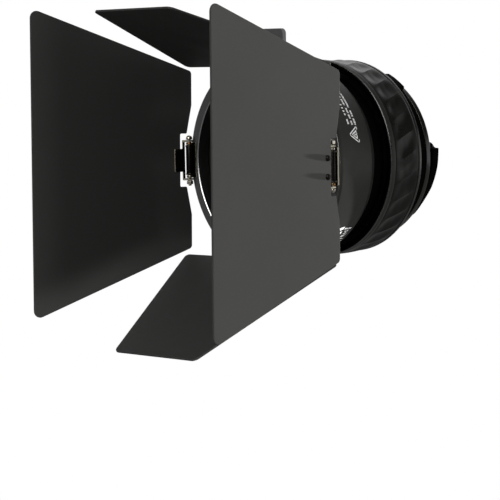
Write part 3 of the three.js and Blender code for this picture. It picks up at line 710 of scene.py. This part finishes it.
def focus_grip():
    outside = grip_outside()

    def scallop(k, turn, radius, y):
        if k >= len(outside):
            return turn + RIDGE_TURN, radius, y
        weight = smooth((y - 51.3) / 8.0) * smooth((71.4 - y) / 8.5)
        fade = 1 if 51.0 < y < 71.8 else smooth(1 - abs(y - 61.4) / 20)
        lean = (y - 61.0) / 20.0 * SCALLOP_TWIST * fade
        place = (turn / (2 * math.pi) * SCALLOPS) % 1.0
        scoop = math.sin(math.pi * place) ** 0.95
        return turn + RIDGE_TURN - lean, radius - weight * SCALLOP_DEPTH * scoop, y

    profile = [(radius, y, 0) for y, radius in outside + GRIP_BORE]
    columns = SCALLOPS * SCALLOP_COLUMNS
    grip = lathe("focus_grip_ring", profile, columns, shape=scallop, angle=28)
    dress(grip, "grip_plastic", "focus_grip", ["focus_grip"])
    repaint(grip, ("turned_rim", "grip_band", "matte_black_and_painted_shade"), grip_slot)


focus_grip()

# ------------------------------------------------------------------ rear mount
COLLAR_PROFILE = [  # radius, y, fillet
    (47.7, 73.0, 0), (53.8, 73.0, 0.4), (53.8, 75.4, 0.3), (50.7, 75.4, 0.35),
    (50.7, 86.0, 0.15), (50.4, 86.2, 0), (50.4, 86.5, 0), (50.9, 86.7, 0.15),
    (50.9, 90.5, 0.9), (47.7, 90.5, 0.2),
]
TUBE_PROFILE = [
    (44.8, 40.0, 0.3), (47.4, 40.0, 0.3), (47.4, 90.5, 0.2), (33.0, 90.5, 0.3),
    (33.0, 87.5, 0.3), (44.8, 87.5, 0.5),
]
FLANGE_PROFILE = [
    (33.0, 90.9, 0.3), (48.6, 90.9, 0.3), (48.6, 92.6, 0.35), (45.4, 92.6, 0.3),
    (45.4, 96.6, 0.4), (41.0, 97.2, 0.3), (41.0, BODY_LENGTH, 0.8), (33.0, BODY_LENGTH, 0.5),
]
CAP_SCREW_PROFILE = [
    (0, 87.8, 0), (1.2, 87.8, 0.3), (1.2, 99.2, 0), (2.2, 99.2, 0.15), (2.2, 101.3, 0.35),
    (1.35, 101.3, 0.1), (1.2, 100.9, 0), (1.2, 99.9, 0), (0, 99.7, 0),
]
FLANGE_SCREWS = [polar(37.0, angle) for angle in (45, 135, 225, 315)]  # x, z
LUG_START, LUG_END, LUG_STEPS = 49.5, 66, 12  # degrees from +X towards +Z
CLAW_SWEEP = 55.5  # degrees
CLAW_RAMP = (  # degrees from the claw's start, radius
    (0, 47.6), (3, 48.0), (12, 48.1), (18, 48.5), (23, 49.1), (28, 49.8), (33, 50.2),
    (37, 50.6), (42, 51.1), (46, 51.4), (50, 51.6), (CLAW_SWEEP, 52.0),
)
CLAW_END = (  # the same, down the claw's end
    (55.7, 50.2), (56.0, 49.4), (56.5, 48.8), (57.3, 48.3), (58.4, 47.8), (59.6, 47.0),
    (60.4, 45.8), (60.6, 44.6),
)


def rear_collar():
    collar = lathe("rear_collar_ring", COLLAR_PROFILE, 200)
    dress(collar, "collar_black_and_painted_shade", "mount", ["rear_collar"])
    # rear band of the collar: lighter olive and glossier as a painted highlight; the rest stays
    # near black, partly black paint and partly painted shade under the grip's overhang
    repaint(
        collar, ("collar_painted_highlight",),
        lambda depth, radius, normal_y: int(depth > 86.4 and radius > 50.0),
    )


def index_lug():
    """Ring sector standing out from the collar."""
    corners = []
    for k in range(LUG_STEPS + 1):
        angle = LUG_START + (LUG_END - LUG_START) * k / LUG_STEPS
        corners.append((*polar(54.4, angle), 0.9 if k in (0, LUG_STEPS) else 0))
    for k in range(LUG_STEPS, -1, -1):
        angle = LUG_START + (LUG_END - LUG_START) * k / LUG_STEPS
        corners.append((*polar(49.5, angle), 0))
    lug = plate(
        "index_lug", rounded(corners), -85.5, -77.5, TO_WORLD @ ALONG_Y, bevel=0.7, steps=5
    )
    dress(lug, "collar_black_and_painted_shade", "mount")


def guide_tube():
    tube = lathe("guide_tube_bore", TUBE_PROFILE, 144, 3)
    drill(tube, [rod("hole", (x, 86, z), (x, 92, z), 1.5) for x, z in FLANGE_SCREWS])
    dress(tube, "matte_black_and_painted_shade", "mount", ["guide_tube"])


def bayonet_flange():
    flange = lathe("bayonet_flange_ring", FLANGE_PROFILE, 176)
    cutters = []
    for x, z in FLANGE_SCREWS:
        cutters.append(rod("hole", (x, 90, z), (x, 99.2, z), 1.5, 20))
        cutters.append(rod("hole", (x, 98.9, z), (x, 103, z), 2.5, 32))
    drill(flange, cutters)
    dress(flange, "black_metal", "mount", ["bayonet_flange"])


def claw_outline(start):
    """A claw that rises from the band along a long ramp and drops off at its end."""
    angles, radii = zip(*CLAW_RAMP)
    corners = []
    for k in range(56):
        angle = CLAW_SWEEP * k / 55
        radius = float(np.interp(angle, angles, radii))
        corners.append((*polar(radius, start + angle), 0.5 if k in (0, 55) else 0))
    corners += [(*polar(radius, start + angle), 0) for angle, radius in CLAW_END]
    for k in range(40, -1, -1):
        corners.append((*polar(44.0, start + CLAW_SWEEP * k / 40), 0))
    return rounded(corners)


def bayonet_claws():
    for k in range(3):
        claw = plate(
            f"bayonet_claw_{k + 1}", claw_outline(-50 + 120 * k), -96.6, -91.4,
            TO_WORLD @ ALONG_Y, bevel=0.4, steps=4,
        )
        dress(claw, "matte_black_and_painted_shade", "mount")


def flange_screws():
    for i, (x, z) in enumerate(FLANGE_SCREWS, 1):
        matrix = TO_WORLD @ Matrix.Translation((x, 0, z))
        screw = lathe(f"flange_cap_screw_{i}", CAP_SCREW_PROFILE, 30, 3, matrix)
        dress(screw, "steel", "mount", [f"flange_screw_{i}"])


rear_collar()
index_lug()
guide_tube()
bayonet_flange()
bayonet_claws()
flange_screws()

# ------------------------------------------------------------------ top catch
CATCH_OUTLINE = [(-14, 62.9, 0.8), (14, 62.9, 0.8), (14, 77.3, 3), (-14, 77.3, 3)]  # x, z
CATCH_ARM_OUTLINE = [  # y, z, corner radius
    (6.6, 62.9, 0), (11.4, 62.3, 0.4), (14.2, 62.5, 1.6), (14.2, 66.2, 1.8), (6.6, 67.7, 0),
]
CATCH_SHOE_OUTLINE = [(0.7, 62.9, 0.4), (5.2, 62.9, 0), (5.2, 64.8, 0), (0.7, 64.8, 0.9)]
PIN_HALF_LENGTH = 8.7


def top_catch():
    """Upright plate with two arms to the pin and a shoe in front of it."""
    catch = plate(
        "catch_plate", rounded(CATCH_OUTLINE, 8), -7.4, -4.6, TO_WORLD @ ALONG_Y,
        bevel=0.55, steps=4,
    )
    dress(catch, "catch_paint", "top_catch", ["top_catch_plate"])
    outline = rounded(CATCH_ARM_OUTLINE, 6)
    for side, label in SIDES:
        x0, x1 = sorted((side * 3.4, side * 5.8))
        arm = plate(
            "catch_arm_" + label, outline, x0, x1, TO_WORLD @ ALONG_X, [CATCH_HOLE], 0.3
        )
        dress(arm, "ring_paint", "top_catch")
    shoe = plate("catch_shoe", rounded(CATCH_SHOE_OUTLINE), -4.5, 4.5, TO_WORLD @ ALONG_X)
    dress(shoe, "ring_paint", "top_catch")
    pin = rod(
        "catch_pin", (-PIN_HALF_LENGTH, *CATCH_PIN), (PIN_HALF_LENGTH, *CATCH_PIN), 1.0, 28,
        bevel=0.3,
    )
    dress(pin, "steel", "lens_head", ["top_catch_pin"])


def catch_spring(half_length=2.4, turns=3.5, radius=1.85, wire=0.42):
    """Helical spring around the catch pin; wire is the wire's radius."""
    steps, around = int(turns * 28), 10
    length = 2 * half_length
    verts, faces = [], []
    for i in range(steps + 1):
        t = i / steps
        turn = t * turns * 2 * math.pi
        cos, sin = math.cos(turn), math.sin(turn)
        y, z = CATCH_PIN
        centre = Vector((-half_length + length * t, y + radius * cos, z + radius * sin))
        radial = Vector((0, cos, sin))
        pitch = length / (turns * 2 * math.pi)
        tangent = Vector((pitch, -radius * sin, radius * cos)).normalized()
        other = tangent.cross(radial)
        for k in range(around):
            angle = 2 * math.pi * k / around
            verts.append(
                centre + radial * wire * math.cos(angle) + other * wire * math.sin(angle)
            )
    for i in range(steps):
        this, following = i * around, (i + 1) * around
        for k in range(around):
            j = (k + 1) % around
            faces.append((this + k, this + j, following + j, following + k))
    faces.append(tuple(range(around)))
    faces.append(tuple(steps * around + k for k in reversed(range(around))))
    spring = build("catch_spring", verts, faces, angle=50)
    dress(spring, "steel", "lens_head", ["top_catch_spring"])


top_catch()
catch_spring()

# ------------------------------------------------------------------ hinges and leaves
# A station is the body frame turned about the optical axis, so its hinge is at +z. In a leaf's
# swing frame the hinge pin is the x axis, -y runs out along the leaf and z is its thickness.
PIN_Y, PIN_Z = -3.8, 59.3
EAR_HALF = 2.3  # ring ear, half height about the pin
SHEET, LEAF_OFFSET, GAP = 1.2, 2.6, 0.3  # leaf thickness, mid-plane from pin, gap to bracket
BRACKET = 1.0  # leaf bracket thickness
RIVET_X, RIVET_OUT = 5.2, 8.6
SKEW_OUT, NOTCH_OUT, TAB_OUT = 6.6, 5.2, 10.0  # distances out along the leaf from the pin
# root and tip distance out along the leaf, half width at root and tip
SIDE_LEAF = (-3.2, 108.3, 53.3, 89.0)
END_LEAF = (-2.0, 96.9, 61.2, 32.3)
HINGES = (  # name, station turn, splay, skew in degrees, leaf, side of the pin it lies on
    ("top", 0, 19.1, -0.7, END_LEAF, -1),
    ("bottom", 180, 27.4, -2.8, END_LEAF, -1),
    ("left", -90, 6.3, 1.3, SIDE_LEAF, 1),
    ("right", 90, 7.7, -1.1, SIDE_LEAF, 1),
)
WEB_OUTLINE = [(-10.6, 56.2, 0.6), (10.6, 56.2, 0.6), (10.6, 61.6, 0.6), (-10.6, 61.6, 0.6)]
RING_EAR_OUTLINE = [  # y, z, corner radius
    (-0.8, PIN_Z - EAR_HALF, 0.3), (PIN_Y - EAR_HALF, PIN_Z - EAR_HALF, 2.28),
    (PIN_Y - EAR_HALF, PIN_Z + EAR_HALF, 2.28), (-0.8, PIN_Z + EAR_HALF, 0.5),
]
BRACKET_SCREW_PROFILE = [  # radius, y, fillet
    (0, -1.3, 0), (0.7, -1.3, 0.15), (0.7, 1.65, 0), (1.4, 2.5, 0), (1.4, 2.7, 0.05),
    (0.5, 2.7, 0), (0.42, 2.3, 0), (0, 2.25, 0),
]
KNUCKLE_PROFILE = [(1.4, -8.0, 0.1), (2.1, -8.0, 0.25), (2.1, 8.0, 0.25), (1.4, 8.0, 0.1)]
TAB_OUTLINE = [  # x, y, corner radius
    (-12.1, -4.2, 0.6), (-6.9, -4.2, 0.5), (-6.9, -TAB_OUT, 0.8), (6.9, -TAB_OUT, 0.8),
    (6.9, -4.2, 0.5), (12.1, -4.2, 0.6), (12.1, -2.6, 0.6), (-12.1, -2.6, 0.6),
]
LEAF_EAR_OUTLINE = [  # y, z towards the leaf's side, corner radius
    (-4.15, 1.68, 0.3), (-1.6, 1.9, 0.8), (2.1, 1.9, 1.85), (2.1, -2.1, 1.85),
    (-1.6, -2.1, 1.0), (-4.15, -0.2, 0.3),
]


def rivet_holes(radius):
    return [circle(side * RIVET_X, -RIVET_OUT, radius, 20) for side, _ in SIDES]


def ring_bracket(name, station, to_axis):
    """Web on the ring's face, two ears with a screw beside each, and the knuckle."""
    web = plate(
        name + "_ring_bracket_web", rounded(WEB_OUTLINE, 4), 0.3, 1.9, station @ ALONG_Y,
        bevel=0.28,
    )
    dress(web, "black_metal", "front_ring", [name + "_ring_bracket"])
    bright_edges(web, TO_WORLD, (0, 1, 0), limit=0.12)
    outline = rounded(RING_EAR_OUTLINE, 8)
    for side, label in SIDES:
        x0, x1 = sorted((side * 7.8, side * 9.0))
        ear = plate(
            f"{name}_ring_ear_{label}", outline, x0, x1, station @ ALONG_X,
            [circle(PIN_Y, PIN_Z, 1.4, 20)],
        )
        dress(ear, "black_metal", "front_ring")
        bright_edges(ear, station, (1, 0, 0), "worn_edge")
        screw_name = f"{name}_bracket_screw_{label}"
        at = station @ Matrix.Translation((side * 4.6, 0, 59.2))
        screw = lathe(screw_name + "_visual", BRACKET_SCREW_PROFILE, 24, 3, at)
        dress(screw, "steel", "front_ring", [screw_name])
    knuckle = lathe(name + "_knuckle", KNUCKLE_PROFILE, 36, 3, to_axis)
    dress(knuckle, "black_metal", "front_ring")


def hinge_screw(name, to_axis):
    """Threaded shank along the hinge with a washer and a domed head at its +x end."""
    profile = [(0, -15.5, 0), (0.75, -15.5, 0), (1.05, -15.1, 0)]
    y = -15.0
    while y < -7.4:
        profile += [(1.08, y, 0), (0.86, y + 0.19, 0), (1.08, y + 0.38, 0)]
        y += 0.4
    profile += [(1.1, -7.2, 0), (1.1, 12.4, 0), (1.95, 12.4, 0.08), (1.95, 13.2, 0.25)]
    for k in range(1, 6):
        t = math.pi / 2 * k / 6
        profile.append((1.9 * math.cos(t), 13.2 + 1.7 * math.sin(t), 0))
    profile.append((0, 14.9, 0))
    pin = lathe(name + "_hinge_screw", profile, 28, 2, to_axis, angle=26)
    dress(pin, "chrome", "front_ring", [name + "_hinge_pin"])


def washers_and_nut(name, to_axis):
    for (side, label), material in zip(SIDES, ("chrome", "brass_washer")):
        y0, y1 = sorted((side * 9.25, side * 10.6))
        profile = [(1.12, y0, 0), (1.95, y0, 0.2), (1.95, y1, 0.2), (1.12, y1, 0)]
        washer = lathe(f"{name}_spacer_washer_{label}", profile, 28, 3, to_axis)
        dress(washer, material, "front_ring")
    hexagon = rounded([(*polar(2.05, 60 * k), 0.12) for k in range(6)], 2)
    nut = plate(
        name + "_hinge_nut", hexagon, -14.6, -12.4,
        to_axis @ axes((1, 0, 0), (0, 0, -1), (0, 1, 0)), [circle(0, 0, 1.25, 20)], 0.3,
    )
    dress(nut, "chrome", "front_ring", [name + "_lock_nut"])


def leaf_bracket(name, body, swing, side, z_face, z_back):
    """Tab riveted to the leaf and two ears on the hinge screw."""
    low, high = sorted((z_face, z_back))
    tab = plate(
        name + "_leaf_bracket_tab", rounded(TAB_OUTLINE), low, high, swing,
        rivet_holes(1.0), 0.22,
    )
    dress(tab, "black_metal", body, [name + "_leaf_bracket"])
    bright_edges(tab, swing, (0, 0, 1))
    outline = rounded([(y, side * z, radius) for y, z, radius in LEAF_EAR_OUTLINE], 8)
    for end, label in SIDES:
        x0, x1 = sorted((end * 10.9, end * 12.1))
        ear = plate(
            f"{name}_leaf_ear_{label}", outline, x0, x1, swing @ ALONG_X,
            [circle(0, 0, 1.4, 20)],
        )
        dress(ear, "black_metal", body)
        bright_edges(ear, swing, (1, 0, 0))


def leaf_sheet(name, body, swing, side, skew, leaf):
    """Tapered sheet, notched at the hinge and turned a touch near its rivets."""
    root, tip, root_half, tip_half = leaf
    corners = [
        (root_half, -root, 2.5), (tip_half, -tip, 4.2), (-tip_half, -tip, 4.2),
        (-root_half, -root, 2.5), (-33, -root, 2), (-16, -0.4, 0.8), (-16, -NOTCH_OUT, 0.8),
        (16, -NOTCH_OUT, 0.8), (16, -0.4, 0.8), (33, -root, 2),
    ]
    skewed = (
        swing
        @ Matrix.Translation((0, -SKEW_OUT, 0))
        @ Matrix.Rotation(rad(skew), 4, "Z")
        @ Matrix.Translation((0, SKEW_OUT, 0))
    )
    middle = side * LEAF_OFFSET
    sheet = plate(
        name + "_leaf_sheet", rounded(corners, 8), middle - SHEET / 2, middle + SHEET / 2,
        skewed, rivet_holes(1.1), 0.3,
    )
    dress(sheet, "leaf_paint", body, [name + "_leaf"])


def rivets(name, body, swing, side, z_back):
    """Domed head on the leaf, shank, and a flat head behind the bracket."""
    face = side * (LEAF_OFFSET + SHEET / 2 + 0.02)
    back = z_back - side * 0.02
    profile = [(0, face + side * 1.5, 0)]
    for k in range(1, 7):
        t = math.pi / 2 * (1 - k / 6)
        profile.append((1.8 * math.cos(t) ** 0.7, face + side * 1.5 * math.sin(t), 0))
    profile += [
        (1.0, face, 0), (1.0, back, 0), (1.5, back, 0), (1.35, back - side * 0.45, 0.15),
        (0, back - side * 0.55, 0),
    ]
    through = axes((1, 0, 0), (0, 0, 1), (0, -1, 0))
    for end, label in SIDES:
        at = swing @ Matrix.Translation((end * RIVET_X, -RIVET_OUT, 0)) @ through
        rivet = lathe(f"{name}_rivet_{label}", profile, 26, 3, at)
        dress(rivet, "black_metal", body, [f"{name}_leaf_rivet_{label}"])


def hinge(name, turn, splay, skew, leaf, side):
    station = TO_WORLD @ Matrix.Rotation(rad(turn), 4, "Y")
    # lathe frame whose Y axis runs along the hinge pin, towards the station's +x
    to_axis = station @ axes((0, 1, 0), (1, 0, 0), (0, 0, -1), (0, PIN_Y, PIN_Z))
    swing = (
        station
        @ Matrix.Translation((0, PIN_Y, PIN_Z))
        @ Matrix.Rotation(-rad(splay), 4, "X")
    )
    body = name + "_leaf"
    z_face = side * (LEAF_OFFSET - SHEET / 2 - GAP)
    z_back = z_face - side * BRACKET
    ring_bracket(name, station, to_axis)
    hinge_screw(name, to_axis)
    washers_and_nut(name, to_axis)
    leaf_bracket(name, body, swing, side, z_face, z_back)
    leaf_sheet(name, body, swing, side, skew, leaf)
    rivets(name, body, swing, side, z_back)


for row in HINGES:
    hinge(*row)

# CAD nodes that keep their shape: the cam ring and its pins, inside the grip
for node_name in ("cam_ring", "cam_pin_1", "cam_pin_2", "cam_pin_3"):
    nodes[node_name].data.materials.clear()
    nodes[node_name].data.materials.append(materials["blackened_steel"])

# ------------------------------------------------------------------ stage, world and lights
FLOOR_Z, FLOOR_FAR, FLOOR_NEAR = -0.202, -6.0, 0.75  # metres
FLOOR_GREY = 0.22  # to diffuse light
FLOOR_GLOSS = 0.16  # brightness in reflections
WORLD_FILL = 0.27  # even light for diffuse surfaces
AMBIENT = 0.02  # darkest part of the room in reflections
REFLECTIONS = (  # direction, cosine where it starts and is full, brightness
    ((-0.717, 0.687, -0.10), 0.35, 0.90, 0.9),  # sweep behind the part
    ((0.05, -0.05, 1.0), 0.55, 0.93, 0.26),  # ceiling
    ((0.45, -0.68, 0.58), 0.84, 0.97, 3.4),  # softbox above, front right
    ((0.62, 0.76, -0.18), 0.86, 0.99, 0.62),  # strip behind, right
    ((0.70, -0.70, -0.12), 0.72, 0.97, 0.20),  # card in front, right
)
WHITE = (1, 1, 1, 1)


def mix_shaders(tree, factor, first, second):
    node = add(tree, "MixShader")
    for i, source in enumerate((factor, first.outputs[0], second.outputs[0])):
        tree.links.new(source, node.inputs[i])
    return node


def stage_floor():
    """White to the camera, dim in reflections, clear from below."""
    low, high = FLOOR_FAR, FLOOR_NEAR
    mesh = bpy.data.meshes.new("floor")
    corners = [(low, low), (high, low), (high, high), (low, high)]
    mesh.from_pydata([(x, y, FLOOR_Z) for x, y in corners], [], [(0, 1, 2, 3)])
    ob = bpy.data.objects.new("floor", mesh)
    scene.collection.objects.link(ob)
    material = bpy.data.materials.new("floor")
    material.use_nodes = True
    tree = material.node_tree
    tree.nodes.clear()
    output = add(tree, "OutputMaterial")
    diffuse = add(tree, "BsdfDiffuse", {0: (FLOOR_GREY, FLOOR_GREY, FLOOR_GREY, 1)})
    glow = add(tree, "Emission", {0: WHITE, 1: 1.0})
    path = add(tree, "LightPath")
    paper = add(tree, "Emission", {0: WHITE, 1: FLOOR_GLOSS})
    gloss = mix_shaders(tree, path.outputs["Is Glossy Ray"], diffuse, paper)
    upper = mix_shaders(tree, path.outputs["Is Camera Ray"], gloss, glow)
    clear = add(tree, "BsdfTransparent")
    geometry = add(tree, "NewGeometry")
    sided = mix_shaders(tree, geometry.outputs["Backfacing"], upper, clear)
    tree.links.new(sided.outputs[0], output.inputs[0])
    mesh.materials.append(material)


def soft_world():
    """White to the camera, an even fill for diffuse light and a studio for reflections."""
    world = bpy.data.worlds.new("studio")
    scene.world = world
    world.use_nodes = True
    tree = world.node_tree
    tree.nodes.clear()
    link = tree.links.new
    output = add(tree, "OutputWorld")
    coords = add(tree, "TexCoord")

    def toward(direction, start, full, brightness):
        dot = add(tree, "VectorMath")
        dot.operation = "DOT_PRODUCT"
        dot.inputs[1].default_value = Vector(direction).normalized()
        link(coords.outputs["Generated"], dot.inputs[0])
        node = map_range(tree, dot.outputs["Value"], start, full, 0.0, brightness)
        node.interpolation_type = "SMOOTHSTEP"
        return node.outputs[0]

    def plus(first):
        node = add(tree, "Math")
        node.operation = "ADD"
        link(first, node.inputs[0])
        return node

    def background(brightness):
        return add(tree, "Background", {0: WHITE, 1: brightness})

    total = toward(*REFLECTIONS[0])
    for row in REFLECTIONS[1:]:
        part = toward(*row)
        node = plus(total)
        link(part, node.inputs[1])
        total = node.outputs[0]
    node = plus(total)
    node.inputs[1].default_value = AMBIENT

    path = add(tree, "LightPath")
    fill = background(WORLD_FILL)
    room = add(tree, "Background", {0: WHITE})
    link(node.outputs[0], room.inputs[1])
    gloss = mix_shaders(tree, path.outputs["Is Glossy Ray"], fill, room)
    seen = mix_shaders(tree, path.outputs["Is Camera Ray"], gloss, background(1.0))
    link(seen.outputs[0], output.inputs[0])


def area_light(name, at, look, size, power, size_y=None):
    """Area light in metres and watts, hidden from the camera and from reflections."""
    light = bpy.data.lights.new(name, "AREA")
    light.energy = power
    light.size = size
    if size_y:
        light.shape = "RECTANGLE"
        light.size_y = size_y
    ob = bpy.data.objects.new(name, light)
    scene.collection.objects.link(ob)
    ob.location = at
    ob.rotation_mode = "QUATERNION"
    ob.rotation_quaternion = (Vector(look) - Vector(at)).to_track_quat("-Z", "Y")
    ob.visible_camera = False
    ob.visible_glossy = False


stage_floor()
soft_world()
middle = (0, -0.10, -0.037)
area_light(
    "key", at=(1.7, -0.10, -0.21), look=(0.06, -0.14, -0.037), size=0.7, power=14.5, size_y=0.12
)
area_light("back", at=(-0.030, 1.5, -0.23), look=(0.064, -0.11, -0.037), size=0.05, power=165)
area_light("front", at=(0.38, -1.80, 0.30), look=middle, size=0.8, power=9.5)
area_light("top", at=(0.2, 0.1, 1.563), look=middle, size=0.9, power=1)

# ------------------------------------------------------------------ camera
AZIMUTH, ELEVATION, ROLL = rad(46.246159), rad(6.881771), rad(-1.129295)
CAMERA_DISTANCE = 1070.332288  # mm from the body frame's origin, along the view
CAMERA_RIGHT, CAMERA_UP = -6.684586, -61.432436  # mm across the view
FOCAL_LENGTH, SENSOR_WIDTH = 132.5206836, 36.0
SHIFT_X, SHIFT_Y = -0.0022406, 0.03674148  # fractions of the picture


def place_camera():
    back = np.array([
        math.sin(AZIMUTH) * math.cos(ELEVATION),
        -math.cos(AZIMUTH) * math.cos(ELEVATION),
        math.sin(ELEVATION),
    ])
    level_right = np.array([math.cos(AZIMUTH), math.sin(AZIMUTH), 0.0])
    level_up = np.cross(back, level_right)
    right = math.cos(ROLL) * level_right + math.sin(ROLL) * level_up
    up = -math.sin(ROLL) * level_right + math.cos(ROLL) * level_up
    eye = back * CAMERA_DISTANCE + right * CAMERA_RIGHT + up * CAMERA_UP
    data = bpy.data.cameras.new("camera")
    camera = bpy.data.objects.new("camera", data)
    scene.collection.objects.link(camera)
    matrix = Matrix(np.array([right, up, back]).T.tolist()).to_4x4()
    matrix.translation = TO_WORLD @ Vector(eye)
    camera.matrix_world = matrix
    data.sensor_width = SENSOR_WIDTH
    data.lens = FOCAL_LENGTH
    data.shift_x = SHIFT_X
    data.shift_y = SHIFT_Y
    data.clip_start = 0.05
    data.clip_end = 50.0
    scene.camera = camera


place_camera()
scene.view_settings.view_transform = "Standard"
scene.view_settings.look = "None"
